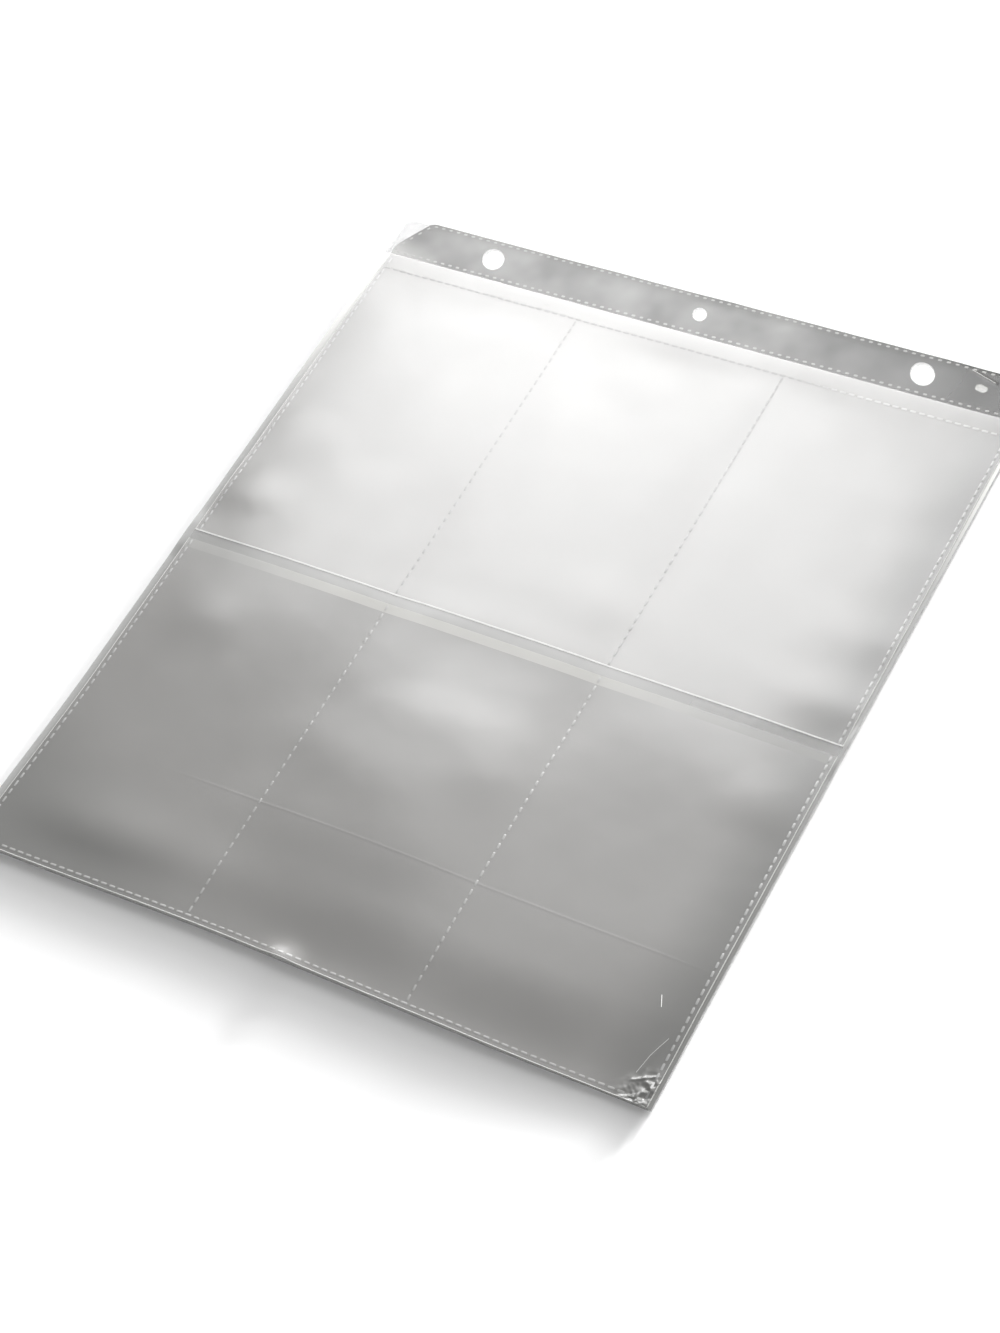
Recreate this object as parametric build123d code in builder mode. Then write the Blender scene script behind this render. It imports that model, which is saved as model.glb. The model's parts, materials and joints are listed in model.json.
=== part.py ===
# A small pile of clear six-pocket binder pages, lying flat.
# X runs along the binding strip, +Y points to the strip, +Z points up.
# The origin is at the middle of the pile's underside. Sizes are in millimetres.
import os
from math import atan2, degrees

from build123d import *

os.makedirs("parts", exist_ok=True)

# The pile and its films
page_count = 5
film = 0.15
seam_height = 0.35

# Pockets, each for a 4 x 6 in print, and the seams around them
columns = 3
pocket_width = 102.9
upper_pocket_depth = 164.9
lower_pocket_depth = 161.2
mouth_gap = 5.0
seam_width = 0.8
edge_margin = 2.25

# How far the back sheet shows beside the front films
left_margin = 3.6
right_margin = 1.5

# Binding strip, and the plain band between it and the upper pockets
strip_height = 22.5
strip_cut_width = 13.3
strip_cut_drop = 17.2
strip_seam_inset = 1.5
header_height = 8.9
fold_gap = 0.3

# Ring holes at the usual three-ring spacing, and a small vent near the strip's right end
ring_pitch = 107.95
ring_hole_radius = 6.0
centre_hole_radius = 3.7
hole_from_top = 10.9
vent_length = 5.8
vent_width = 4.0
vent_from_end = 23.25

# Heat-seal marks, a dashed row on every seam of the top page
mark_length = 2.0
mark_width = 0.8
mark_height = 0.1
mark_pitch = 4.2

# Widths
pocket_pitch = pocket_width + seam_width
panel_width = columns * pocket_pitch + 2 * edge_margin
sheet_width = panel_width + left_margin + right_margin
panel_centre = (left_margin - right_margin) / 2
panel_left = panel_centre - panel_width / 2
panel_right = panel_centre + panel_width / 2
seam_places = [panel_left + edge_margin + i * pocket_pitch for i in range(columns + 1)]
seams_left = seam_places[0] - seam_width / 2
seams_right = seam_places[-1] + seam_width / 2

# Lengths, from the strip's outer edge down to the page's bottom edge
pockets_length = upper_pocket_depth + mouth_gap + lower_pocket_depth
sheet_length = strip_height + header_height + pockets_length + edge_margin
strip_top = sheet_length / 2
hole_line = strip_top - hole_from_top
fold_line = strip_top - strip_height
leaf_top = fold_line - fold_gap
pocket_end = fold_line - header_height
upper_mouth = pocket_end - upper_pocket_depth
lower_mouth = upper_mouth - mouth_gap
bottom_seam = lower_mouth - lower_pocket_depth
page_bottom = bottom_seam - edge_margin

# Height of one page
page_pitch = 2 * film + seam_height


# A flat rectangle between two opposite corners, in the sketch that is open
def rectangle_between(left, bottom, right, top):
    with Locations(((left + right) / 2, (bottom + top) / 2)):
        Rectangle(right - left, top - bottom)


# The binding strip's outline, in the sketch that is open: a band with both upper corners cut off
def strip_outline():
    Polygon(
        (panel_left, fold_line),
        (panel_right, fold_line),
        (panel_right, strip_top - strip_cut_drop),
        (panel_right - strip_cut_width, strip_top),
        (panel_left + strip_cut_width, strip_top),
        (panel_left, strip_top - strip_cut_drop),
        align=None,
    )


# The three ring holes, cut out of the sketch that is open
def ring_holes():
    with Locations((panel_centre - ring_pitch, hole_line), (panel_centre + ring_pitch, hole_line)):
        Circle(ring_hole_radius, mode=Mode.SUBTRACT)
    with Locations((panel_centre, hole_line)):
        Circle(centre_hole_radius, mode=Mode.SUBTRACT)


# Centre lines of the seams, each from one point to another
with BuildSketch() as strip_seam_path:
    strip_outline()
    offset(amount=-strip_seam_inset, kind=Kind.INTERSECTION)
strip_seam_lines = [(edge @ 0, edge @ 1) for edge in strip_seam_path.sketch.edges()]

upper_seam_lines = [(Vector(seams_left, pocket_end), Vector(seams_right, pocket_end))]
for x in (seam_places[0], seam_places[-1]):
    upper_seam_lines.append((Vector(x, leaf_top), Vector(x, upper_mouth)))
for x in seam_places[1:-1]:
    upper_seam_lines.append((Vector(x, pocket_end), Vector(x, upper_mouth)))

lower_seam_lines = [(Vector(seams_left, bottom_seam), Vector(seams_right, bottom_seam))]
for x in seam_places:
    lower_seam_lines.append((Vector(x, bottom_seam), Vector(x, lower_mouth)))


# A seam as a flat bar along its centre line, in the sketch that is open
def seam_bar(start, end):
    along = end - start
    middle = (start + end) * 0.5
    with Locations((middle.X, middle.Y)):
        Rectangle(along.length, seam_width, rotation=degrees(atan2(along.Y, along.X)))


# Places of the heat-seal marks: evenly spaced on each seam and turned along it
def mark_places(lines, height):
    places = []
    for start, end in lines:
        along = end - start
        count = int(along.length // mark_pitch)
        turn = degrees(atan2(along.Y, along.X))
        for i in range(count):
            middle = start + along * ((i + 0.5) / count)
            places.append(Location((middle.X, middle.Y, height), (0, 0, turn)))
    return places


# One heat-seal mark: a long low bump with four sloping sides
with BuildSketch() as mark_base:
    Rectangle(mark_length, mark_width)
with BuildPart() as mark:
    loft(sections=[mark_base.face(), Vertex(0, 0, mark_height)], ruled=True)


# Name a finished piece of a page and write it out
def write_piece(builder, page, piece):
    builder.part.label = f"page{page}_{piece}"
    export_step(builder.part, f"parts/{builder.part.label}.step")


for page in range(1, page_count + 1):
    back_z = (page - 1) * page_pitch
    seam_z = back_z + film
    front_z = seam_z + seam_height
    top_z = front_z + film
    is_top_page = page == page_count

    # Backing of the strip: square upper corners, a little wider than the strip
    with BuildPart() as strip_back:
        with BuildSketch(Plane.XY.offset(back_z)):
            rectangle_between(-sheet_width / 2, fold_line, sheet_width / 2, strip_top)
            ring_holes()
        extrude(amount=film)
    write_piece(strip_back, page, "strip_back")

    # Seam of the strip: a closed ring of fused film just inside the strip's edge
    with BuildPart() as strip_seam:
        with BuildSketch(Plane.XY.offset(seam_z)):
            strip_outline()
            offset(amount=seam_width / 2 - strip_seam_inset, kind=Kind.INTERSECTION)
            offset(amount=-seam_width, kind=Kind.INTERSECTION, mode=Mode.SUBTRACT)
        extrude(amount=seam_height)
    write_piece(strip_seam, page, "strip_seam")

    # Binding strip: the greyer front film, with its corners cut off and a small vent
    with BuildPart() as binding_strip:
        with BuildSketch(Plane.XY.offset(front_z)):
            strip_outline()
            ring_holes()
            with Locations((panel_right - vent_from_end, hole_line)):
                SlotOverall(vent_length, vent_width, mode=Mode.SUBTRACT)
        extrude(amount=film)
        if is_top_page:
            with Locations(*mark_places(strip_seam_lines, top_z)):
                add(mark.part)
    write_piece(binding_strip, page, "binding_strip")

    # Back sheet of the six pockets
    with BuildPart() as back_sheet:
        with BuildSketch(Plane.XY.offset(back_z)):
            rectangle_between(-sheet_width / 2, page_bottom, sheet_width / 2, leaf_top)
        extrude(amount=film)
    write_piece(back_sheet, page, "back_sheet")

    # Seams of the upper pockets: across their ends, down the sides and between the columns
    with BuildPart() as upper_seams:
        with BuildSketch(Plane.XY.offset(seam_z)):
            for start, end in upper_seam_lines:
                seam_bar(start, end)
        extrude(amount=seam_height)
    write_piece(upper_seams, page, "upper_seams")

    # Front of the upper pockets, open at its lower edge
    with BuildPart() as upper_front:
        with BuildSketch(Plane.XY.offset(front_z)):
            rectangle_between(panel_left, upper_mouth, panel_right, leaf_top)
        extrude(amount=film)
        if is_top_page:
            with Locations(*mark_places(upper_seam_lines, top_z)):
                add(mark.part)
    write_piece(upper_front, page, "upper_front")

    # Seams of the lower pockets: along the bottom, up the sides and between the columns
    with BuildPart() as lower_seams:
        with BuildSketch(Plane.XY.offset(seam_z)):
            for start, end in lower_seam_lines:
                seam_bar(start, end)
        extrude(amount=seam_height)
    write_piece(lower_seams, page, "lower_seams")

    # Front of the lower pockets, open at its upper edge
    with BuildPart() as lower_front:
        with BuildSketch(Plane.XY.offset(front_z)):
            rectangle_between(panel_left, page_bottom, panel_right, lower_mouth)
        extrude(amount=film)
        if is_top_page:
            with Locations(*mark_places(lower_seam_lines, top_z)):
                add(mark.part)
    write_piece(lower_front, page, "lower_front")

pile_height = page_count * page_pitch + mark_height
print(f"{page_count} pages, {sheet_width:.2f} x {sheet_length:.2f} x {pile_height:.2f} mm")
print(f"fold line at y {fold_line:.3f}, ring holes at y {hole_line:.3f}, x {panel_centre:.3f}")
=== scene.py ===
import json
import math
import bpy
from mathutils import Matrix, Quaternion, Vector, noise
from mathutils.geometry import delaunay_2d_cdt


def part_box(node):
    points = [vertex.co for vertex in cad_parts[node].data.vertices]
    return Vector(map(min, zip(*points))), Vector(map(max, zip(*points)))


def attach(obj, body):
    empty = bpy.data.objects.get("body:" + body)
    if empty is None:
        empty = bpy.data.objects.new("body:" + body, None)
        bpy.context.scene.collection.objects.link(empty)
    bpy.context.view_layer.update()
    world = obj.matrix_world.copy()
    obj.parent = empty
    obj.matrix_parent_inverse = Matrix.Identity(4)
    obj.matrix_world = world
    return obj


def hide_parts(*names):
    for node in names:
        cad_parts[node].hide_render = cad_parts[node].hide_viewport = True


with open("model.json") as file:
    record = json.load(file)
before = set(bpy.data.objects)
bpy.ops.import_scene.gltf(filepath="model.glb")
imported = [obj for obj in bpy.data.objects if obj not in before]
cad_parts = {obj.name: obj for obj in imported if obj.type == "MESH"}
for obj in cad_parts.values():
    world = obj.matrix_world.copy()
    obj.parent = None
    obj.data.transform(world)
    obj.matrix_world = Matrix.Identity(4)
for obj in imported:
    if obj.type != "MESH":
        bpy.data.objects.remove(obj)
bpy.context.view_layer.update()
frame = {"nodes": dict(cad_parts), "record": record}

mm = 0.001
pageCount = max(int(name[4]) for name in frame["nodes"])
scene = bpy.context.scene
scene.view_settings.view_transform = "Standard"
scene.cycles.transparent_max_bounces = 48  # light passes through every film of the pile


# sRGB hex to the linear colour that the shaders use
def linear(hexColour):
    parts = [int(hexColour[i:i + 2], 16) / 255 for i in (1, 3, 5)]
    return [c / 12.92 if c <= 0.04045 else ((c + 0.055) / 1.055) ** 2.4 for c in parts] + [1.0]


# one shader node with its settings and what feeds it
def addNode(tree, kind, settings, feeds):
    node = tree.nodes.new(kind)
    for key, value in settings.items():
        if isinstance(key, int) or key in node.inputs:
            node.inputs[key].default_value = value
        else:
            setattr(node, key, value)
    for key, source in feeds.items():
        tree.links.new(source, node.inputs[key])
    return node


# corners of a CAD node in mm
def corners(node):
    low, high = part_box(node)
    return low / mm, high / mm


# the page's lines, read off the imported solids, in mm
stripLow, stripHigh = corners("page1_strip_back")
panelLow, panelHigh = corners("page1_upper_front")
pocketLow, pocketHigh = corners("page1_lower_front")
seamLow, seamHigh = corners("page1_upper_seams")
bottomSeamLow, bottomSeamHigh = corners("page1_lower_seams")
sheetLow, sheetHigh = corners("page1_back_sheet")
page = dict(
    left=sheetLow.x, right=sheetHigh.x, bottom=sheetLow.y, leafTop=sheetHigh.y,
    panelLeft=panelLow.x, panelRight=panelHigh.x, upperMouth=panelLow.y, lowerMouth=pocketHigh.y,
    foldLine=stripLow.y, stripTop=stripHigh.y, seamHalf=0.4, header=8.9, columns=3, film=0.15,
)
page["seamLeft"] = seamLow.x + page["seamHalf"]
page["seamRight"] = seamHigh.x - page["seamHalf"]
page["bottomSeam"] = bottomSeamLow.y + page["seamHalf"]
page["pocketEnd"] = page["foldLine"] - page["header"]
columnPitch = (page["seamRight"] - page["seamLeft"]) / page["columns"]
seamPlaces = [page["seamLeft"] + columnPitch * i for i in range(page["columns"] + 1)]
columnMiddles = [place + columnPitch / 2 for place in seamPlaces[:-1]]
filmTop = {name: corners(name)[1].z for name in frame["nodes"]}
for name in ("page%d_%s" % (pageCount, piece) for piece in ("binding_strip", "upper_front", "lower_front")):
    filmTop[name] = corners(name)[0].z + page["film"]  # without the heat-seal marks on the top page
print("page lines read from the frame,", pageCount, "pages")


# ramps from 0 to 1 as value goes from start to end
def ramp(value, start, end):
    t = min(1.0, max(0.0, (value - start) / (end - start)))
    return t * t * (3 - 2 * t)


# how the pile lies: slow waves that all pages share, and pockets that puff up a little between their seams
lie = dict(
    rest=0.30, wave=0.22, waveLength=105.0, ripple=0.05, rippleLength=42.0, foldReach=20.0,
    puff=(0.05, 0.08, 0.06), puffEdge=26.0, puffShape=0.8, upperEase=20, lowerEase=12, filmDepth=0.11,
)
# the pockets gape where their mouths meet, and their seams pinch them: reaches in mm, spans in columns
gape = dict(
    rise=(0.26, 0.31, 0.20), upReach=55.0, downReach=112.0, spread=0.42,
    pinch=0.75, pinchSpan=(0.0, 0.22), side=0.2, sideSpan=(-0.05, 0.45),
)
# each pattern reads the noise at a height of its own
planes = dict(wave=3.1, ripple=7.7, large=1.7, small=5.2, strip=4.4, dash=0.5)
mouthMiddle = (page["upperMouth"] + page["lowerMouth"]) / 2


# the waves die out at the fold line, so that a page can turn over onto the strip
def foldHold(y):
    return ramp(abs(y - page["foldLine"]), 0, lie["foldReach"])


def pileWave(x, y):
    slow = noise.noise(Vector((x / lie["waveLength"], y / lie["waveLength"], planes["wave"])))
    quick = noise.noise(Vector((x / lie["rippleLength"], y / lie["rippleLength"], planes["ripple"])))
    return foldHold(y) * max(0.0, lie["rest"] + lie["wave"] * slow + lie["ripple"] * quick)


def pocketPuff(x, y):
    across = (x - page["seamLeft"]) / columnPitch
    column = min(page["columns"] - 1, max(0, int(across)))
    u = min(1.0, max(0.0, across - column))
    if y > mouthMiddle:
        v = ramp(page["pocketEnd"] - y, 0, lie["puffEdge"])
        mouth = ramp(y - page["upperMouth"], -lie["upperEase"], lie["puffEdge"])
    else:
        v = ramp(y - page["bottomSeam"], 0, lie["puffEdge"])
        mouth = ramp(page["lowerMouth"] - y, -lie["lowerEase"], lie["puffEdge"])
    puff = lie["puff"][column] * math.sin(math.pi * u) ** lie["puffShape"] * v * mouth
    inner = min(abs(x - place) for place in seamPlaces[1:-1]) / columnPitch
    held = gape["pinch"] + (1 - gape["pinch"]) * ramp(inner, *gape["pinchSpan"])
    outer = min(x - page["seamLeft"], page["seamRight"] - x) / columnPitch
    held *= gape["side"] + (1 - gape["side"]) * ramp(outer, *gape["sideSpan"])
    weights = [math.exp(-((x - place) / (gape["spread"] * columnPitch)) ** 2) for place in columnMiddles]
    rise = sum(w * r for w, r in zip(weights, gape["rise"])) / sum(weights)
    above = y - mouthMiddle
    away = above / gape["upReach"] if above > 0 else -above / gape["downReach"]
    return foldHold(y) * (puff + rise * held * math.exp(-away))


# dents and swells in the top page's films: place, reach across, reach along and height in mm
topSwells = [
    (8, -150, 36, 55, 1.00), (6, -93, 32, 21, 1.10), (8, -62, 28, 11, 0.42), (24, -114, 20, 11, 0.22),
    (-44, -92, 13, 10, 0.18), (100, -160, 40, 45, 0.90), (137, -51, 13, 8, 0.20), (-126, -54, 13, 9, 0.28),
    (-105, -165, 22, 7, 0.60), (-20, -127, 30, 12, 0.50), (22, -126, 20, 11, 0.25), (-60, -53, 12, 9, 0.08),
    (-102, -158, 26, 10, 0.55), (-55, -162, 18, 9, 0.30), (-146, 14, 15, 9, 0.72), (-146, 53, 12, 8, 0.25),
    (148, 3, 18, 8, 0.36), (146, 36, 18, 8, 0.32), (-2, -14, 30, 7, 0.15), (32, 15, 20, 9, 0.16),
    (-15, -101, 14, 9, 0.12), (35, -80, 14, 9, 0.22), (132, 106, 16, 9, 0.16), (-105, 33, 14, 9, 0.14),
]
swellFade = 35.0  # the swells die out over this length above the bottom seam
edgeNick = (-4.5, -183, 5, 4, 1.0)  # a nick in the bottom edge, as one more swell
# fine creases pressed into the top page's films: two ends, height and half width in mm
creases = [
    ((-95.0, -124.2), (159.0, -123.8), 0.024, 0.45), ((147.5, -174.8), (156.9, -169.5), 0.30, 0.5),
    ((148.0, -182.1), (153.9, -178.2), 0.25, 0.5), ((153.0, -153.8), (149.0, -172.0), 0.10, 0.7),
]
# how far around a crease counts, in mm, and where along it, in lengths, it fades in and out
creaseFade = dict(reach=3, start=(-0.05, 0.15), end=1.05, endFade=0.2)
# sharper ones that stand up as a bright line, the line partly a painted glint in the whitish trim finish:
# radius and path in mm
sharpCreases = [
    (0.18, [(142.9, -139.1), (145.0, -143.7)]),
    (0.10, [(153.5, -154.2), (150.2, -162.7), (148.4, -171.0)]),
]


def creaseHeight(x, y):
    height = 0.0
    for start, end, rise, width in creases:
        reach = creaseFade["reach"]
        if min(start[1], end[1]) - reach < y < max(start[1], end[1]) + reach:
            start, end, here = Vector(start), Vector(end), Vector((x, y))
            along = (here - start).dot(end - start) / (end - start).length_squared
            away = (here - start.lerp(end, along)).length
            taper = ramp(along, *creaseFade["start"])
            taper *= ramp(creaseFade["end"] - along, 0.0, creaseFade["endFade"])
            height += rise * taper * math.exp(-(away / width) ** 2)
    return height


# the crushed corner at the bottom right: large sharp folds with small ones between them, in mm
crush = dict(
    x=159.0, y=-181.5, reach=17.0, core=0.3, height=1.25, spacing=4.6,
    finer=2.1, sharp=2.2, large=0.65, small=0.35,
)


def crushFolds(x, y):
    away = math.hypot(x - crush["x"], y - crush["y"])
    near = 1 - ramp(away, crush["reach"] * crush["core"], crush["reach"])
    if near <= 0:
        return 0.0
    u, v = x / crush["spacing"], y / crush["spacing"]
    large = 1 - abs(noise.noise(Vector((u, v, planes["large"])))) * crush["sharp"]
    u, v = u * crush["finer"], v * crush["finer"]
    small = 1 - abs(noise.noise(Vector((u, v, planes["small"])))) * crush["sharp"]
    return near * crush["height"] * max(0.0, crush["large"] * large + crush["small"] * small)


def oneSwell(x, y, cx, cy, across, along, rise):
    return rise * math.exp(-((x - cx) / across) ** 2 / 2 - ((y - cy) / along) ** 2 / 2)


def swellHeight(x, y):
    return sum(oneSwell(x, y, *swell) for swell in topSwells) * ramp(y - page["bottomSeam"], 0, swellFade)


def topDetail(x, y):
    return swellHeight(x, y) + oneSwell(x, y, *edgeNick) + creaseHeight(x, y) + crushFolds(x, y)


# between the mouths the back sheet rises to lie against the front films: depth, reach and fade in mm
backLift = dict(depth=0.5, gap=0.02, reach=12.0, fade=10.0)


# height of a film's upper face, in mm
def leafHeight(node):
    number = int(node[4])
    top = number == pageCount

    def height(x, y):
        puff = pocketPuff(x, y)
        if node.endswith("front"):
            return filmTop[node] + pileWave(x, y) + number * puff + (topDetail(x, y) if top else 0.0)
        near = ramp(page["upperMouth"] + backLift["reach"] - y, 0, backLift["fade"])
        near *= ramp(y - page["lowerMouth"] + backLift["reach"], 0, backLift["fade"])
        rise = backLift["depth"] - lie["filmDepth"] - backLift["gap"]
        lift = near * (rise + puff + (swellHeight(x, y) if top else 0.0))
        return filmTop[node] + pileWave(x, y) + (number - 1) * puff + lift

    return height


# the strip droops to its outer edge, more at its right end, and its edge rolls over
droop = dict(left=0.03, right=0.08, beyond=4.0, fullFrom=40.0, edgeRoll=0.13, edgeReach=1.4)
# the strip's slow swells, and one wrinkle near its right end, as a ridge with a fine bead on it whose whitish
# finish is a painted glint
wrinkle = dict(
    start=(128.1, 180.4), end=(140.4, 176.6), height=0.16, width=0.45, over=0.1, bead=0.16,
    swell=0.26, swellLength=23.0, swellAcross=45.0,
)


def stripHeight(node):
    top = int(node[4]) == pageCount and node.endswith("binding_strip")

    def height(x, y):
        across = ramp(y, page["foldLine"], page["stripTop"] + droop["beyond"])
        along = ramp(x, page["panelLeft"], page["panelRight"] - droop["fullFrom"])
        fall = across * (droop["left"] + (droop["right"] - droop["left"]) * along)
        z = filmTop[node] * (1 - fall) + pileWave(x, y)
        z -= droop["edgeRoll"] * ramp(y, page["stripTop"] - droop["edgeReach"], page["stripTop"])
        near = noise.noise(Vector((x / wrinkle["swellLength"], y / wrinkle["swellAcross"], planes["strip"])))
        z += foldHold(y) * wrinkle["swell"] * near * int(node[4]) / pageCount
        if top:
            start, end = Vector(wrinkle["start"]), Vector(wrinkle["end"])
            along = (Vector((x, y)) - start).dot(end - start) / (end - start).length_squared
            over = wrinkle["over"]
            if -over < along < 1 + over:
                away = (Vector((x, y)) - start.lerp(end, along)).length
                z += wrinkle["height"] * math.exp(-(away / wrinkle["width"]) ** 2) * ramp(along, -over, over)
        return z

    return height


# the textures' sizes in mm, how far their roughness varies, and polypropylene's index of refraction
texture = dict(handled=24, swell=15, grain=1.6, grit=0.5, filmWear=(0.8, 1.25), weldWear=(0.85, 1.15))
plainIor = 1.49


# the clear films' shared shader: its greys, roughness and ripples follow the page in real mm
# each drift turns the tone to another colour along a direction, between two places in mm
def filmMaterial(name, pale, deep, alpha, roughness, ripple, ior, drifts=(), cloudSize=70):
    material = bpy.data.materials.new(name)
    material.use_nodes = True
    tree = material.node_tree
    shader = tree.nodes["Principled BSDF"]
    place = addNode(tree, "ShaderNodeTexCoord", {}, {}).outputs["Object"]
    cloud = addNode(tree, "ShaderNodeTexNoise", {"Scale": 1 / (cloudSize * mm), "Detail": 2.0},
                    {"Vector": place})
    tone = addNode(tree, "ShaderNodeMix", {"data_type": "RGBA", 6: linear(pale), 7: linear(deep)},
                   {0: cloud.outputs["Fac"]})
    for along, start, end, colour in drifts:
        far = addNode(tree, "ShaderNodeVectorMath", {"operation": "DOT_PRODUCT", 1: along}, {0: place})
        part = addNode(tree, "ShaderNodeMapRange",
                       {"interpolation_type": "SMOOTHSTEP", "From Min": start * mm, "From Max": end * mm},
                       {"Value": far.outputs["Value"]})
        tone = addNode(tree, "ShaderNodeMix", {"data_type": "RGBA", 7: linear(colour)},
                       {0: part.outputs["Result"], 6: tone.outputs[2]})
    handled = addNode(tree, "ShaderNodeTexNoise", {"Scale": 1 / (texture["handled"] * mm), "Detail": 3.0},
                      {"Vector": place})
    least, most = texture["filmWear"]
    wear = addNode(tree, "ShaderNodeMapRange", {"To Min": roughness * least, "To Max": roughness * most},
                   {"Value": handled.outputs["Fac"]})
    swell = addNode(tree, "ShaderNodeTexNoise", {"Scale": 1 / (texture["swell"] * mm), "Detail": 1.5},
                    {"Vector": place})
    bump = addNode(tree, "ShaderNodeBump", {"Strength": 1.0, "Distance": ripple * mm},
                   {"Height": swell.outputs["Fac"]})
    shader.inputs["IOR"].default_value = ior
    shader.inputs["Specular IOR Level"].default_value = 1.0
    shader.inputs["Alpha"].default_value = alpha
    tree.links.new(tone.outputs[2], shader.inputs["Base Color"])
    tree.links.new(wear.outputs["Result"], shader.inputs["Roughness"])
    tree.links.new(bump.outputs["Normal"], shader.inputs["Normal"])
    return material


# cast polypropylene film, chill rolled: clear, with a soft gloss that takes up every wave
# painted shade and dark reflection: the tone drifts darker towards the right edge and towards the lower left
castFilm = filmMaterial("castPolypropyleneFilm", "#abaaa8", "#9d9c9a", 0.70, 0.19, 0.05, 1.75,
                        [((1, 0, 0), 125, 160, "#8a8a88"), ((-0.5, -0.87, 0), 160, 215, "#90908e")])
# the back sheet where it lies open between the two mouths: a denser, glossier copy of its finish, painted
# darker towards both ends as shade where the soft box's reflection falls off
openFilm = filmMaterial("castPolypropyleneOpen", "#a4a4a2", "#989896", 0.72, 0.19, 0.05, 1.82,
                        [((1, 0, 0), 30, 120, "#7c7c7a"), ((-1, 0, 0), 50, 140, "#929290")])
# the lower pockets' mouth: painted highlight, a paler band of the film for the light that the mouth catches,
# painted darker towards both ends as shade
mouthHighlightFilm = filmMaterial("castPolypropyleneMouthPaintedHighlight", "#c0bfba", "#b2b1ac", 0.76, 0.19, 0.03, 1.75,
                         [((1, 0, 0), 35, 125, "#8e8e8b"), ((-1, 0, 0), 60, 140, "#a4a4a1")])
# the upper pockets' trimmed mouth: a whitish line, painted as the highlight that the cut edge catches
mouthTrimHighlight = filmMaterial("trimSealedPolypropyleneMouthPaintedHighlight", "#d0d0ce", "#c4c4c2", 0.90, 0.19, 0.02, 1.6)
# the back sheet and the undersides, seen through the films: clearer, so a lifted page lets the table through
castBack = filmMaterial("castPolypropyleneBack", "#b0b0ae", "#a2a2a1", 0.30, 0.19, 0.05, 1.75)
castUnder = filmMaterial("castPolypropyleneUnderside", "#b0b0ae", "#a2a2a1", 0.12, 0.19, 0.04, 1.6)
# the back sheet's margins beside the pockets: painted paler towards the strip, as the soft box's reflection,
# and painted darker at the lower right, as shade along that edge
clearMargin = filmMaterial("castPolypropyleneMargin", "#adadac", "#a2a2a1", 0.92, 0.24, 0.04, 1.3,
                           [((0, 1, 0), 50, 150, "#ecece9"), ((1, -0.5, 0), 150, 215, "#868684")])
# the same margins lower in the pile, almost clear
faintMargin = filmMaterial("castPolypropyleneFaintMargin", "#c2c2c1", "#b4b4b3", 0.05, 0.19, 0.04, 1.6)
# the strip's backing, a single clear film that shows beyond the cut corners
clearBacking = filmMaterial("castPolypropyleneBacking", "#b8b8b8", "#acacac", 0.13, 0.17, 0.04, 1.3)
# the same film behind the vent, greyer and less clear, so the vent shows grey rather than white
ventBacking = filmMaterial("castPolypropyleneVent", "#b6b6b0", "#a4a49e", 0.30, 0.20, 0.06, 1.3)
# calendered polypropylene, heavier: a greyer film with a satin roll finish and cloudy patches
# painted: the tone darkens towards the strip's right end, as shade and dark reflection, and turns paler at
# its left end, as the soft box's reflection
stripFilm = filmMaterial("calenderedPolypropyleneStrip", "#939391", "#2e2e2e", 0.86, 0.24, 0.06, 1.45,
                         [((1, 0, 0), -10, 175, "#4c4c4b"), ((-0.5, -0.866, 0), -78, -58, "#a8a8a6")], 24)
# the same strip film lower in the pile, where it only shows through the holes and lets the table through
clearStrip = filmMaterial("calenderedPolypropyleneClear", "#b4b4b2", "#a6a6a4", 0.06, 0.24, 0.04, plainIor)


# polypropylene that melted along the cut: it sets matt and whitish
def weldMaterial(name, pale, deep, roughness, grit):
    material = bpy.data.materials.new(name)
    material.use_nodes = True
    tree = material.node_tree
    shader = tree.nodes["Principled BSDF"]
    place = addNode(tree, "ShaderNodeTexCoord", {}, {}).outputs["Object"]
    grain = addNode(tree, "ShaderNodeTexNoise", {"Scale": 1 / (texture["grain"] * mm), "Detail": 2.0},
                    {"Vector": place})
    tone = addNode(tree, "ShaderNodeMix", {"data_type": "RGBA", 6: linear(pale), 7: linear(deep)},
                   {0: grain.outputs["Fac"]})
    fine = addNode(tree, "ShaderNodeTexNoise", {"Scale": 1 / (texture["grit"] * mm), "Detail": 1.0},
                   {"Vector": place})
    bump = addNode(tree, "ShaderNodeBump", {"Strength": 1.0, "Distance": grit * mm},
                   {"Height": fine.outputs["Fac"]})
    least, most = texture["weldWear"]
    wear = addNode(tree, "ShaderNodeMapRange", {"To Min": roughness * least, "To Max": roughness * most},
                   {"Value": grain.outputs["Fac"]})
    shader.inputs["IOR"].default_value = plainIor
    tree.links.new(tone.outputs[2], shader.inputs["Base Color"])
    tree.links.new(wear.outputs["Result"], shader.inputs["Roughness"])
    tree.links.new(bump.outputs["Normal"], shader.inputs["Normal"])
    return material


# the strip's heat-seal marks: whitish on the grey film
stripDash = filmMaterial("heatSealedPolypropyleneMark", "#b6b6b4", "#a8a8a6", 0.56, 0.24, 0.02, 1.45)
# on the pockets the marks are pressed through clear film, so they stay half clear and take up its glare;
# their tone is painted down to the film's grey from the mouths upwards, where the glare washes them out, and
# painted paler towards the right as highlight
clearDash = filmMaterial("heatSealedPolypropyleneClearMark", "#c6c6c4", "#b6b6b4", 0.66, 0.19, 0.02, 1.75,
                         [((0, 1, 0), -24, -8, "#9e9e9c"), ((1, 0.35, 0), 108, 150, "#d4d4d2")])
# along the sides the marks are painted paler, as highlight where they catch more light
sideDashHighlight = filmMaterial("heatSealedPolypropyleneSideMarkPaintedHighlight", "#cacac8", "#bababa", 0.66, 0.19, 0.02, 1.75)
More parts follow.
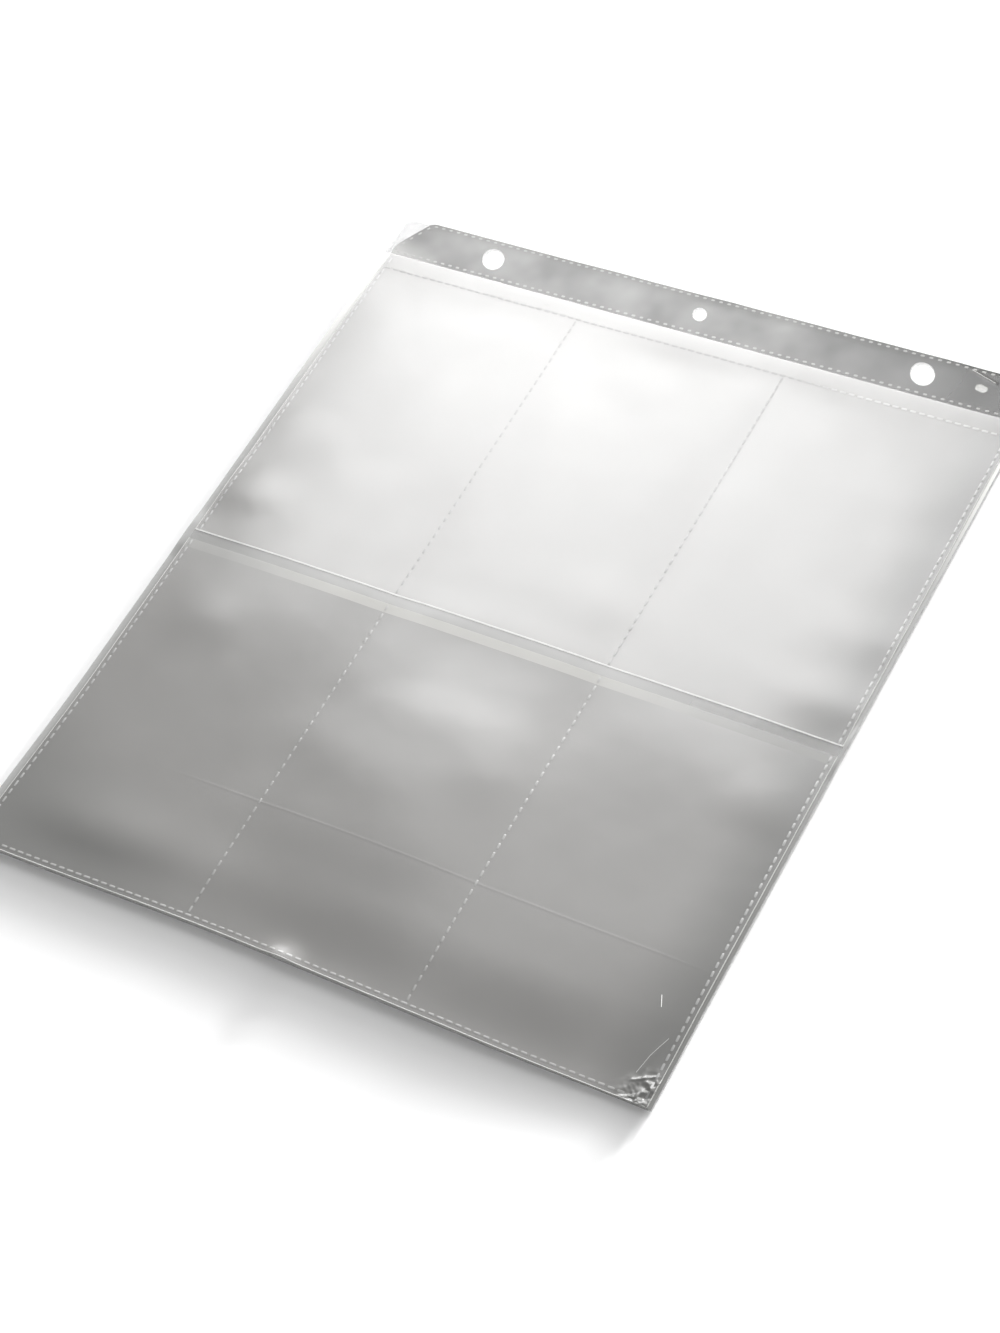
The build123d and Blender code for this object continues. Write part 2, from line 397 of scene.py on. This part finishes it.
# the fused band under the marks: almost clear, it only takes a little off the table's white
weldBand = filmMaterial("heatSealedPolypropyleneBand", "#a8a8a6", "#989896", 0.04, 0.19, 0.02, 1.75)
# trim-sealed edge: a fine bead of melted film, whitish of itself and also painted paler as highlight and as
# the light that clear film edges carry
trimEdge = weldMaterial("trimSealedPolypropyleneEdge", "#e2e2e0", "#d0d0ce", 0.26, 0.01)
print("materials made")


# the pile's bottom edge lies a little drawn out, most at its left corner: how far in mm
# at its right corner the pile is pressed flatter, by this share of its height
# the spans say where each comes in: across from the middle or the right end, and down from the middle
drawn = dict(
    bottom=1.0, bottomSpan=(0, 70), rightEnd=160, corner=3.4, cornerSpan=(20, 165), down=(60, 182),
    left=2.6, leftSpan=(60, 160), leftDown=(95, 185),
    pressed=0.38, pressedSpan=(60, 160), pressedDown=(115, 185),
)


def drawnOut(x, y, z):
    down = drawn["bottom"] * ramp(drawn["rightEnd"] - x, *drawn["bottomSpan"])
    down += drawn["corner"] * ramp(-x, *drawn["cornerSpan"])
    down *= ramp(-y, *drawn["down"])
    left = drawn["left"] * ramp(-x, *drawn["leftSpan"]) * ramp(-y, *drawn["leftDown"])
    pressed = drawn["pressed"] * ramp(x, *drawn["pressedSpan"]) * ramp(-y, *drawn["pressedDown"])
    return Vector((x - left, y - down, z * (1 - pressed))) * mm


# a mesh object from vertices in mm
def meshPiece(name, points, faces, slots, materials, sharpAngle=35.0):
    mesh = bpy.data.meshes.new(name)
    mesh.from_pydata([drawnOut(*p) for p in points], [], faces)
    for material in materials:
        mesh.materials.append(material)
    mesh.polygons.foreach_set("material_index", slots)
    mesh.polygons.foreach_set("use_smooth", [True] * len(faces))
    mesh.update()
    mesh.set_sharp_from_angle(angle=math.radians(sharpAngle))
    piece = bpy.data.objects.new(name, mesh)
    scene.collection.objects.link(piece)
    return piece


# points spaced evenly from one point up to but not including the next
def stations(start, end, step):
    count = max(1, round((Vector(end) - Vector(start)).length / step))
    return [Vector(start).lerp(Vector(end), i / count) for i in range(count)]


def insideLoop(point, loop):
    inside = False
    for a, b in zip(loop, loop[1:] + loop[:1]):
        if (a.y > point.y) != (b.y > point.y):
            if point.x < (b.x - a.x) * (point.y - a.y) / (b.y - a.y) + a.x:
                inside = not inside
    return inside


# a film's inner points, in steps: the shift of every second row, and the least distance to its edges
innerPoints = dict(shift=0.25, clear=0.45)


# a closed film: its outline is filled with triangles, cut out at the holes, and given the film's thickness
def filmPiece(name, outline, holes, height, materials, zone, step, fine=()):
    corner = [Vector(p) for p in outline]
    rim = [p for a, b in zip(corner, corner[1:] + corner[:1]) for p in stations(a, b, step)]
    loops = [rim] + [[Vector(p) for p in hole] for hole in holes]
    points, edges = [], []
    for loop in loops:
        first = len(points)
        points += loop
        edges += [(first + i, first + (i + 1) % len(loop)) for i in range(len(loop))]
    fixed = list(points)
    left, right = min(p.x for p in corner), max(p.x for p in corner)
    low, high = min(p.y for p in corner), max(p.y for p in corner)
    areas = [(left, low, right, high, step)] + list(fine)
    cells = {}
    for p in fixed:
        cells.setdefault((round(p.x / step), round(p.y / step)), []).append(p)
    for x0, y0, x1, y1, gap in areas:
        for i in range(int((x1 - x0) / gap)):
            for j in range(int((y1 - y0) / gap)):
                p = Vector((x0 + gap * (i + 0.5 + innerPoints["shift"] * (j % 2)), y0 + gap * (j + 0.5)))
                if gap == step and any(a <= p.x <= c and b <= p.y <= d for a, b, c, d, g in fine):
                    continue
                column, row = round(p.x / step), round(p.y / step)
                around = [(column + di, row + dj) for di in (-1, 0, 1) for dj in (-1, 0, 1)]
                close = [q for key in around for q in cells.get(key, [])]
                if all((p - q).length > innerPoints["clear"] * gap for q in close) and insideLoop(p, rim):
                    points.append(p)
    flat, _, triangles, _, _, _ = delaunay_2d_cdt(points, edges, [], 0, 1e-5)
    kept = []
    for tri in triangles:
        middle = sum((flat[i] for i in tri), Vector((0, 0))) / 3
        if insideLoop(middle, rim) and not any(insideLoop(middle, hole) for hole in loops[1:]):
            kept.append((tri, middle))
    count = len(flat)
    upper = [(p.x, p.y, height(p.x, p.y)) for p in flat]
    verts = upper + [(x, y, z - lie["filmDepth"]) for x, y, z in upper]
    faces, slots, sides = [], [], {}
    for tri, middle in kept:
        a, b, c = tri
        if (flat[b] - flat[a]).cross(flat[c] - flat[a]) < 0:
            b, c = c, b
        faces += [(a, b, c), (a + count, c + count, b + count)]
        slots += [zone(middle)] * 2
        for edge in ((a, b), (b, c), (c, a)):
            sides[edge] = True
    for a, b in list(sides):
        if (b, a) not in sides:
            faces.append((b, a, a + count, b + count))
            slots.append(len(materials) - 1)
    used = sorted({i for face in faces for i in face})
    renumber = {old: new for new, old in enumerate(used)}
    faces = [tuple(renumber[i] for i in face) for face in faces]
    return meshPiece(name, [verts[i] for i in used], faces, slots, materials)


# even stations from start to end, with finer ones in the given spans
def gridLines(start, end, step, fine):
    places, here, tiny = [], start, 1e-6
    while here < end - tiny:
        places.append(here)
        gap = min([step] + [g for a, b, g in fine if a - tiny <= here < b - tiny])
        stops = [a for a, b, g in fine if here + tiny < a < here + gap - tiny]
        here = min(stops) if stops else here + gap
    if end - places[-1] < 0.3 * step and len(places) > 2:
        places.pop()
    return places + [end]


# a closed rectangular film on a regular grid; the last two materials are its underside and its rim
def sheetPiece(name, xs, ys, height, materials, zone):
    wide, count = len(xs), len(xs) * len(ys)
    upper = [(x, y, height(x, y)) for y in ys for x in xs]
    verts = upper + [(x, y, z - lie["filmDepth"]) for x, y, z in upper]
    faces, slots = [], []
    for j in range(len(ys) - 1):
        for i in range(wide - 1):
            a = j * wide + i
            faces += [(a, a + 1, a + 1 + wide, a + wide)]
            faces += [(a + count, a + wide + count, a + 1 + wide + count, a + 1 + count)]
            slots += [zone((xs[i] + xs[i + 1]) / 2, (ys[j] + ys[j + 1]) / 2), len(materials) - 2]
    border = list(range(wide)) + [j * wide + wide - 1 for j in range(1, len(ys))]
    border += [(len(ys) - 1) * wide + i for i in range(wide - 2, -1, -1)]
    border += [j * wide for j in range(len(ys) - 2, 0, -1)]
    for a, b in zip(border, border[1:] + border[:1]):
        faces.append((b, a, a + count, b + count))
        slots.append(len(materials) - 1)
    return meshPiece(name, verts, faces, slots, materials)


# seams in one piece: a thin band from film to film, with a row of raised dashes pressed into it
# each dash: length, width and height in mm, and its rings as shares of its size and height
seam = dict(
    band=0.9, depth=0.5, clear=0.015, step=2.5, apart=0.1, sides=12, uneven=0.16,
    stripDash=(1.9, 1.15, 0.05), pocketDash=(2.9, 1.05, 0.04),
    rings=((1.0, -0.05), (0.82, 0.65), (0.45, 1.0)),
)


def seamPiece(name, lines, height, size, dashes):
    points, faces, slots = [], [], []
    for start, end, pitch, kind in lines:
        start, end = Vector(start), Vector(end)
        along = (end - start).normalized()
        side = Vector((-along.y, along.x)) * seam["band"] / 2
        first = len(points)
        run = stations(start, end, seam["step"]) + [end]
        for p in run:
            level, deep = height(p.x, p.y) + seam["clear"], seam["depth"]
            for q, drop in ((p + side, 0), (p - side, 0), (p - side, deep), (p + side, deep)):
                points.append((q.x, q.y, level - drop))
        for i in range(len(run) - 1):
            a, b = first + 4 * i, first + 4 * (i + 1)
            faces += [(a + k, a + (k + 1) % 4, b + (k + 1) % 4, b + k) for k in range(4)]
        last = first + 4 * (len(run) - 1)
        faces += [tuple(first + k for k in (3, 2, 1, 0)), tuple(last + k for k in range(4))]
        slots += [0] * (4 * (len(run) - 1) + 2)
        count = max(1, int((end - start).length / pitch))
        for i in range(count):
            middle = start.lerp(end, (i + 0.5) / count)
            first = len(points)
            long, wide = size[0] / 2, size[1] / 2
            long *= 1 + seam["uneven"] * noise.noise(Vector((middle.x, middle.y, planes["dash"])))
            for scale, rise in seam["rings"]:
                for k in range(seam["sides"]):
                    turn = 2 * math.pi * k / seam["sides"]
                    reach = long - wide
                    shift = reach if math.cos(turn) > 0 else -reach
                    offset = along * (shift + wide * math.cos(turn))
                    offset += side.normalized() * wide * math.sin(turn)
                    q = middle + offset * scale
                    points.append((q.x, q.y, height(q.x, q.y) + seam["clear"] + size[2] * rise))
            n = seam["sides"]
            faces.append(tuple(first + k for k in range(n - 1, -1, -1)))
            for ring in (first, first + n):
                for k in range(n):
                    m = (k + 1) % n
                    faces.append((ring + k, ring + m, ring + n + m, ring + n + k))
            faces.append(tuple(first + 2 * n + k for k in range(n)))
            slots += [kind] * (2 + 2 * n)
    return meshPiece(name, points, faces, slots, [weldBand] + dashes, 60.0)


# the beads along the films' edges: their sides, their step along the edge and how deep they sit, in mm
beads = dict(sides=6, step=2.0, sink=0.05)


def beadPiece(name, runs, height, finish):
    points, faces = [], []
    n = beads["sides"]
    for radius, run in runs:
        path = [p for a, b in zip(run, run[1:]) for p in stations(a, b, beads["step"])]
        path.append(Vector(run[-1]))
        first = len(points)
        for i, p in enumerate(path):
            ahead = (path[min(i + 1, len(path) - 1)] - path[max(i - 1, 0)]).normalized()
            side = Vector((-ahead.y, ahead.x))
            for k in range(n):
                turn = 2 * math.pi * k / n
                q = p + side * radius * math.cos(turn)
                points.append((q.x, q.y, height(p.x, p.y) - beads["sink"] + radius * math.sin(turn)))
        for i in range(len(path) - 1):
            a, b = first + n * i, first + n * (i + 1)
            faces += [(a + (k + 1) % n, a + k, b + k, b + (k + 1) % n) for k in range(n)]
        last = first + n * (len(path) - 1)
        faces += [tuple(first + k for k in range(n)), tuple(last + k for k in range(n - 1, -1, -1))]
    return meshPiece(name, points, faces, [0] * len(faces), [finish], 70.0)


def rectangle(left, bottom, right, top):
    return [(left, bottom), (right, bottom), (right, top), (left, top)]


# the strip's cut corners, holes and vent, in mm
strip = dict(
    cutWidth=10.4, cutDrop=17.2, round=2.5, backRound=4.0, seamInset=1.5,
    ventFromEnd=23.0, ventRise=0.7, ventLong=5.8, ventWide=3.8, ventTurn=-14, ventSides=24, ventBack=6,
    # the punched holes are stretched a little on a slant
    holeLong=1.13, holeWide=0.86, holeTurn=131, holeSides=48,
)
holes = []
for mount in frame["record"]["mounts"]:
    if mount["name"].endswith("ring_hole"):
        place = [value / mm for value in mount["pos_m"]]
        holes.append((place[0], place[1], mount["dims"]["r_mm"]))
cutLow = page["stripTop"] - strip["cutDrop"]
stripOutline = [
    (page["panelLeft"], page["foldLine"]), (page["panelRight"], page["foldLine"]),
    (page["panelRight"], cutLow), (page["panelRight"] - strip["cutWidth"], page["stripTop"]),
    (page["panelLeft"] + strip["cutWidth"], page["stripTop"]), (page["panelLeft"], cutLow),
]


def punchedHole(cx, cy, radius):
    turned = Matrix.Rotation(math.radians(strip["holeTurn"]), 2)
    long, wide = strip["holeLong"] * radius, strip["holeWide"] * radius
    turns = [2 * math.pi * i / strip["holeSides"] for i in range(strip["holeSides"])]
    return [Vector((cx, cy)) + turned @ Vector((long * math.cos(t), wide * math.sin(t))) for t in turns]


# a loop moved inwards, for the strip's seam
def insetLoop(loop, inset):
    moved = []
    for before, here, after in zip(loop[-1:] + loop[:-1], loop, loop[1:] + loop[:1]):
        a = (Vector(here) - Vector(before)).normalized()
        b = (Vector(after) - Vector(here)).normalized()
        normalA, normalB = Vector((-a.y, a.x)), Vector((-b.y, b.x))
        moved.append(Vector(here) + (normalA + normalB) * inset / (1 + normalA.dot(normalB)))
    return moved


# a loop with some of its corners rounded
def roundedLoop(loop, which, radius):
    made = []
    for i, here in enumerate(loop):
        here, before, after = Vector(here), Vector(loop[i - 1]), Vector(loop[(i + 1) % len(loop)])
        if i not in which:
            made.append(here)
            continue
        a, b = here + (before - here).normalized() * radius, here + (after - here).normalized() * radius
        made += [a.lerp(here, t).lerp(here.lerp(b, t), t) for t in (0.0, 0.25, 0.5, 0.75, 1.0)]
    return made


ventX = page["panelRight"] - strip["ventFromEnd"]
ventY = holes[0][1] + strip["ventRise"]
vent = []
for i in range(strip["ventSides"]):
    turn = 2 * math.pi * i / strip["ventSides"]
    reach = (strip["ventLong"] - strip["ventWide"]) / 2
    shift = reach if math.cos(turn) >= 0 else -reach
    shape = Vector((shift + strip["ventWide"] / 2 * math.cos(turn), strip["ventWide"] / 2 * math.sin(turn)))
    vent.append(Vector((ventX, ventY)) + Matrix.Rotation(math.radians(strip["ventTurn"]), 2) @ shape)

# the dashes' spacing on each kind of seam, in mm, and the seams' lines: start, end, spacing and dash kind
pitch = dict(strip=4.05, sides=4.1, columns=4.45, ends=4.1)
seamLoop = insetLoop(stripOutline, strip["seamInset"])
stripSeams = [(a, b, pitch["strip"], 1) for a, b in zip(seamLoop, seamLoop[1:] + seamLoop[:1])]
gap = page["seamHalf"] + seam["apart"]
seamStart, seamEnd = page["seamLeft"] - page["seamHalf"], page["seamRight"] + page["seamHalf"]
upperSeams = [((seamStart, page["pocketEnd"]), (seamEnd, page["pocketEnd"]), pitch["ends"], 1)]
lowerSeams = [((seamStart, page["bottomSeam"]), (seamEnd, page["bottomSeam"]), pitch["ends"], 1)]
for i, x in enumerate(seamPlaces):
    side = i in (0, page["columns"])
    spacing = pitch["sides"] if side else pitch["columns"]
    kind = 2 if side else 1
    upperSeams.append(((x, page["pocketEnd"] - gap), (x, page["upperMouth"]), spacing, kind))
    lowerSeams.append(((x, page["lowerMouth"]), (x, page["bottomSeam"] + gap), spacing, kind))
    if side:
        upperSeams.append(((x, page["leafTop"]), (x, page["pocketEnd"] + gap), spacing, kind))


# where the strip's backing lies behind the vent
def backingZone(p):
    return 1 if math.hypot(p.x - ventX, p.y - ventY) < strip["ventBack"] else 0


# where the back sheet lies under pockets, in the margins or open between the mouths
def backZone(x, y):
    if not page["panelLeft"] < x < page["panelRight"]:
        return 1
    return 2 if page["lowerMouth"] < y < page["upperMouth"] else 0


# a thin piece that lets the lamps through, attached to its body
def rideClear(piece, body):
    piece.visible_shadow = False
    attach(piece, body)


# how finely each film is divided, in mm, on the top page and below, and what the page's zones measure
fineness = dict(top=3.0, below=6.0, backing=4.0, strip=2.5, mouthStep=1.0, mouthReach=13.0)
# the top page's finer patches: around the wrinkle, the crushed corner, the long crease and the lower mouth
patch = dict(
    wrinkle=(124, 174, 143, page["stripTop"], 0.5), cornerWide=18, cornerHigh=16, cornerStep=0.45,
    crease=(-125.6, -122.4, 0.3), mouthReach=9, mouthStep=0.75,
)
# the painted highlights along the mouths: the upper mouth's whitish line and the lower mouth's pale band, in
# mm
lip = dict(trim=0.6, band=4.4)  # the whitish line at the upper mouth, and the pale band at the lower one
# the edges' beads: radii, how far inside the edge they run and how far short of the next bead they stop
edge = dict(mouth=0.10, side=0.13, back=0.10, inset=0.2, backInset=0.1, cornerGap=0.3)
pocketMarks = [clearDash, sideDashHighlight]

for number in range(1, pageCount + 1):
    top = number == pageCount
    tag = "page%d" % number
    leaf = tag + "_leaf"
    step = fineness["top"] if top else fineness["below"]
    margin = clearMargin if top else faintMargin
    made = []

    backing = tag + "_strip_back"
    outline = rectangle(page["left"], page["foldLine"], page["right"], page["stripTop"])
    outline = roundedLoop(outline, (2, 3), strip["backRound"])
    cutouts = [punchedHole(x, y, r) for x, y, r in holes]
    finishes = [clearBacking, ventBacking if top else clearBacking, clearBacking]
    piece = filmPiece(tag + "StripBacking", outline, cutouts, stripHeight(backing), finishes, backingZone,
                      fineness["backing"])
    made.append((piece, "binding", backing, "clear_film"))

    front = tag + "_binding_strip"
    fine = [patch["wrinkle"]] if top else []
    finishes = [stripFilm, stripFilm] if top else [clearStrip, clearStrip]
    outline = roundedLoop(stripOutline, (2, 3, 4, 5), strip["round"])
    stripStep = fineness["strip"] if top else fineness["backing"]
    piece = filmPiece(tag + "BindingStrip", outline, cutouts + [vent], stripHeight(front), finishes,
                      lambda p: 0, stripStep, fine)
    made.append((piece, "binding", front, "strip_film"))
    piece = seamPiece(tag + "StripSeam", stripSeams, stripHeight(front), seam["stripDash"], [stripDash])
    made.append((piece, "binding", tag + "_strip_seam", "fused_film"))

    back = tag + "_back_sheet"
    xs = [page["left"]] + gridLines(page["panelLeft"], page["panelRight"], step, []) + [page["right"]]
    reach, gapStep = fineness["mouthReach"], fineness["mouthStep"]
    fine = [(page["lowerMouth"] - reach, page["lowerMouth"], gapStep)]
    ys = gridLines(page["bottom"], page["lowerMouth"], step, fine)
    fine = [(page["upperMouth"], page["upperMouth"] + reach, gapStep)]
    ys += gridLines(page["upperMouth"], page["leafTop"], step, fine)
    finishes = [castBack, margin, openFilm if top else castBack, castUnder, margin]
    piece = sheetPiece(tag + "BackSheet", xs, ys, leafHeight(back), finishes, backZone)
    made.append((piece, leaf, back, "clear_film"))

    upper = tag + "_upper_front"
    xs = gridLines(page["panelLeft"], page["panelRight"], step, [])
    fine = [(page["upperMouth"], page["upperMouth"] + 3 * lip["trim"], lip["trim"] / 2)]
    ys = gridLines(page["upperMouth"], page["leafTop"], step, fine)
    # on the top page a thin zone along the upper mouth takes the painted highlight line
    finishes = [castFilm, mouthTrimHighlight if top else castFilm, castUnder, trimEdge]
    piece = sheetPiece(tag + "UpperFront", xs, ys, leafHeight(upper), finishes,
                       lambda x, y: 1 if y < page["upperMouth"] + lip["trim"] else 0)
    made.append((piece, leaf, upper, "clear_film"))
    piece = seamPiece(tag + "UpperSeams", upperSeams, leafHeight(upper), seam["pocketDash"], pocketMarks)
    made.append((piece, leaf, tag + "_upper_seams", "fused_film"))

    lower = tag + "_lower_front"
    fineX, fineY = [], []
    if top:
        fineX = [(page["panelRight"] - patch["cornerWide"], page["panelRight"], patch["cornerStep"])]
        fineY = [(page["bottom"], page["bottom"] + patch["cornerHigh"], patch["cornerStep"]), patch["crease"],
                 (page["lowerMouth"] - patch["mouthReach"], page["lowerMouth"], patch["mouthStep"])]
    xs = gridLines(page["panelLeft"], page["panelRight"], step, fineX)
    ys = gridLines(page["bottom"], page["lowerMouth"], step, fineY)
    # on the top page the band along the lower mouth takes the painted highlight
    finishes = [castFilm, mouthHighlightFilm if top else castFilm, castUnder, trimEdge]
    piece = sheetPiece(tag + "LowerFront", xs, ys, leafHeight(lower), finishes,
                       lambda x, y: 1 if y > page["lowerMouth"] - lip["band"] else 0)
    made.append((piece, leaf, lower, "clear_film"))
    piece = seamPiece(tag + "LowerSeams", lowerSeams, leafHeight(lower), seam["pocketDash"], pocketMarks)
    made.append((piece, leaf, tag + "_lower_seams", "fused_film"))

    for piece, body, node, slot in made:
        piece.visible_shadow = body != "binding"  # the strip lets the lamps through, so its holes stay white
        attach(piece, body)
        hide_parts(node)

    if top:
        # the wrinkle's and the sharp creases' beads take the whitish trim finish: painted glints along them
        run = [wrinkle["start"], wrinkle["end"]]
        bead = beadPiece("stripWrinkle", [(wrinkle["bead"], run)], stripHeight(front), trimEdge)
        rideClear(bead, "binding")
        rideClear(beadPiece("sharpCreases", sharpCreases, leafHeight(lower), trimEdge), leaf)
    left, right = page["panelLeft"] + edge["inset"], page["panelRight"] - edge["inset"]
    mouth, low = page["upperMouth"], page["bottom"] + edge["inset"]
    runs = [(edge["mouth"], [(left, mouth), (right, mouth)])]
    runs += [(edge["side"], [(x, page["leafTop"]), (x, mouth + edge["cornerGap"])]) for x in (left, right)]
    rideClear(beadPiece(tag + "UpperEdge", runs, leafHeight(upper), trimEdge), leaf)
    runs = [(edge["side"], [(left, low), (right, low)])]
    runs += [(edge["side"], [(x, page["lowerMouth"]), (x, low + edge["cornerGap"])]) for x in (left, right)]
    rideClear(beadPiece(tag + "LowerEdge", runs, leafHeight(lower), trimEdge), leaf)
    left, right = page["left"] + edge["backInset"], page["right"] - edge["backInset"]
    low = page["bottom"] + edge["backInset"]
    run = [(left, page["leafTop"]), (left, low), (right, low), (right, page["leafTop"])]
    bead = beadPiece(tag + "BackEdge", [(edge["back"], run)], leafHeight(back), margin)
    rideClear(bead, leaf)
print("films, seams and edges made")


# studio: a white table, a dim room, a soft box that the upper pockets mirror, low lamps behind, a fill lamp
studio = dict(
    room=0.18, fill=1.8, fillFrom=(0.75, -0.63, 0.22), fillWidth=40, tableHalf=4, tableDrop=0.0001,
    # lamps behind at rising heights, for a shadow that fades evenly: level, height, width and turn
    lamps=((0.46, 5.5, 1.8, -12), (0.44, 7.3, 2.0, -3), (0.42, 9.3, 2.6, -6),
           (0.30, 11.9, 3.5, 0), (0.36, 18.5, 8.0, -4), (0.30, 34, 14, -2)),
    # the soft box is brightest at its far left, and fades to its near edge and its right
    box=dict(place=(-0.663, 0.9125, 1.2), size=(0.876, 0.603), power=12.2, near=0.59, right=0.1,
             rightFrom=0.45, rightTo=0.85, farFrom=0.32, farTo=0.66),
    panel=dict(place=(-0.47, 0.44, 1.2), size=(0.48, 0.40), power=0.34),
)
floorMesh = bpy.data.meshes.new("table")
half = studio["tableHalf"]
floorCorners = [(x, y, -studio["tableDrop"]) for x, y in rectangle(-half, -half, half, half)]
floorMesh.from_pydata(floorCorners, [], [(0, 1, 2, 3)])
floor = bpy.data.objects.new("table", floorMesh)
scene.collection.objects.link(floor)
tableFinish = bpy.data.materials.new("mattWhiteTable")
tableFinish.use_nodes = True
tableShader = tableFinish.node_tree.nodes["Principled BSDF"]
tableShader.inputs["Base Color"].default_value = linear("#fbfbfb")
tableShader.inputs["Roughness"].default_value = 1.0
tableShader.inputs["Specular IOR Level"].default_value = 0.0
floorMesh.materials.append(tableFinish)

world = bpy.data.worlds.new("room")
world.use_nodes = True
scene.world = world
world.cycles.sampling_method = "NONE"  # even light, so there is nothing to aim for
background = world.node_tree.nodes["Background"]
background.inputs["Color"].default_value = linear("#ffffff")
path = addNode(world.node_tree, "ShaderNodeLightPath", {}, {})
seen = addNode(world.node_tree, "ShaderNodeMath", {"operation": "MAXIMUM"},
               {0: path.outputs["Is Camera Ray"], 1: path.outputs["Is Transmission Ray"]})
level = addNode(world.node_tree, "ShaderNodeMapRange", {"To Min": studio["room"], "To Max": 1.0},
                {"Value": seen.outputs[0]})
world.node_tree.links.new(level.outputs["Result"], background.inputs["Strength"])

box = studio["box"]
softBox = bpy.data.lights.new("softBox", "AREA")
softBox.shape = "RECTANGLE"
softBox.size, softBox.size_y = box["size"]
softBox.energy = box["power"]
softBox.use_nodes = True
boxTree = softBox.node_tree
across = addNode(boxTree, "ShaderNodeNewGeometry", {}, {}).outputs["Parametric"]
axes = addNode(boxTree, "ShaderNodeSeparateXYZ", {}, {"Vector": across})
rightwards = addNode(boxTree, "ShaderNodeMapRange",
                     {"interpolation_type": "SMOOTHSTEP",
                      "From Min": box["rightFrom"], "From Max": box["rightTo"],
                      "To Min": 1.0 - box["near"], "To Max": (1.0 - box["near"]) * box["right"]},
                     {"Value": axes.outputs["X"]})
outwards = addNode(boxTree, "ShaderNodeMapRange",
                   {"interpolation_type": "SMOOTHSTEP", "From Min": box["farFrom"], "From Max": box["farTo"]},
                   {"Value": axes.outputs["Y"]})
glow = addNode(boxTree, "ShaderNodeMath", {"operation": "MULTIPLY_ADD", 2: box["near"]},
               {0: rightwards.outputs["Result"], 1: outwards.outputs["Result"]})
boxTree.links.new(glow.outputs[0], boxTree.nodes["Emission"].inputs["Strength"])
boxHolder = bpy.data.objects.new("softBox", softBox)
boxHolder.location = box["place"]
scene.collection.objects.link(boxHolder)

dimPanel = bpy.data.lights.new("dimPanel", "AREA")
dimPanel.shape = "RECTANGLE"
dimPanel.size, dimPanel.size_y = studio["panel"]["size"]
dimPanel.energy = studio["panel"]["power"]
panelHolder = bpy.data.objects.new("dimPanel", dimPanel)
panelHolder.location = studio["panel"]["place"]
scene.collection.objects.link(panelHolder)

for level, lampHeight, lampWidth, lampTurn in studio["lamps"]:
    rise, turn = math.radians(lampHeight), math.radians(lampTurn)
    rearLamp = bpy.data.lights.new("rearLamp", "SUN")
    rearLamp.angle = math.radians(lampWidth)
    rearLamp.energy = level / math.sin(rise)
    lampHolder = bpy.data.objects.new("rearLamp", rearLamp)
    towards = Vector((-math.sin(turn) * math.cos(rise), math.cos(turn) * math.cos(rise), math.sin(rise)))
    lampHolder.rotation_mode = "QUATERNION"
    lampHolder.rotation_quaternion = towards.to_track_quat("Z", "Y")
    scene.collection.objects.link(lampHolder)

fillLamp = bpy.data.lights.new("fillLamp", "SUN")
fillLamp.angle = math.radians(studio["fillWidth"])
fillLamp.energy = studio["fill"]
fillHolder = bpy.data.objects.new("fillLamp", fillLamp)
fillHolder.rotation_mode = "QUATERNION"
fillHolder.rotation_quaternion = Vector(studio["fillFrom"]).to_track_quat("Z", "Y")
scene.collection.objects.link(fillHolder)

# the photograph's viewpoint
view = dict(place=(0.5005, -0.50903, 0.90002), heading=(-0.434532, 0.424802, -0.794182),
            roll=-20.174, lens=73.907, sensor=36.0, nearest=0.05, farthest=50.0)
camera = bpy.data.cameras.new("photoCamera")
camera.lens = view["lens"]
camera.sensor_width = view["sensor"]
camera.clip_start, camera.clip_end = view["nearest"], view["farthest"]
cameraHolder = bpy.data.objects.new("photoCamera", camera)
cameraHolder.location = view["place"]
cameraHolder.rotation_mode = "QUATERNION"
roll = Quaternion((0, 0, 1), math.radians(view["roll"]))
cameraHolder.rotation_quaternion = Vector(view["heading"]).to_track_quat("-Z", "Y") @ roll
scene.collection.objects.link(cameraHolder)
scene.camera = cameraHolder
print("studio and camera set")
